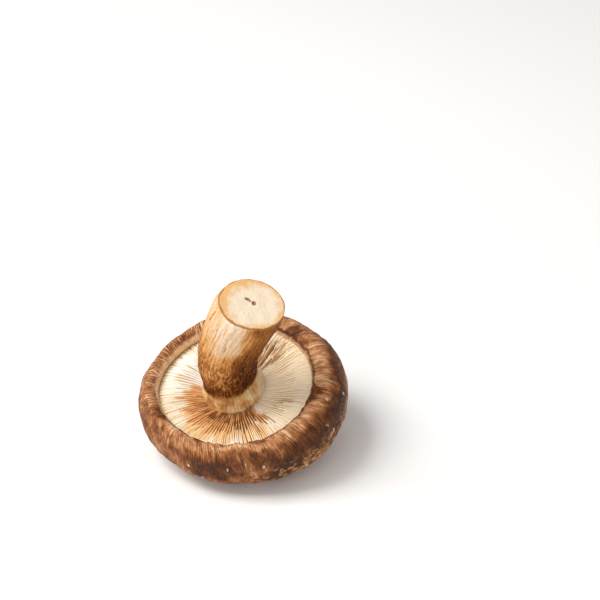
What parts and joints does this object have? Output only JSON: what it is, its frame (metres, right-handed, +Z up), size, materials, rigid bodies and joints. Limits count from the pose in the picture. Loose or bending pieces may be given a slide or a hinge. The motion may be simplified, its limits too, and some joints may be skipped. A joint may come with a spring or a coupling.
{
  "type": "shiitake mushroom",
  "caption": "Fresh shiitake mushroom with a thick cut stem, lying upside down on its domed cap with its gills facing up.",
  "frame": {"origin": "on the table, under the middle of the mushroom's bounding box", "axes": "+Z up with the stem pointing up, -Y towards the side that the gills lean to, +X towards the side that the stem bends to"},
  "size_m": [0.0656, 0.0638, 0.0602],
  "materials": {
    "cap_skin": "satin brown skin with fine wrinkles and cream cracks",
    "gills": "matte cream flesh, stained brown round the stem",
    "stem": "matte fibrous tan flesh with a cream cut"
  },
  "bodies": {
    "root": {"shiitake": "cap_skin"}
  },
  "joints": []
}
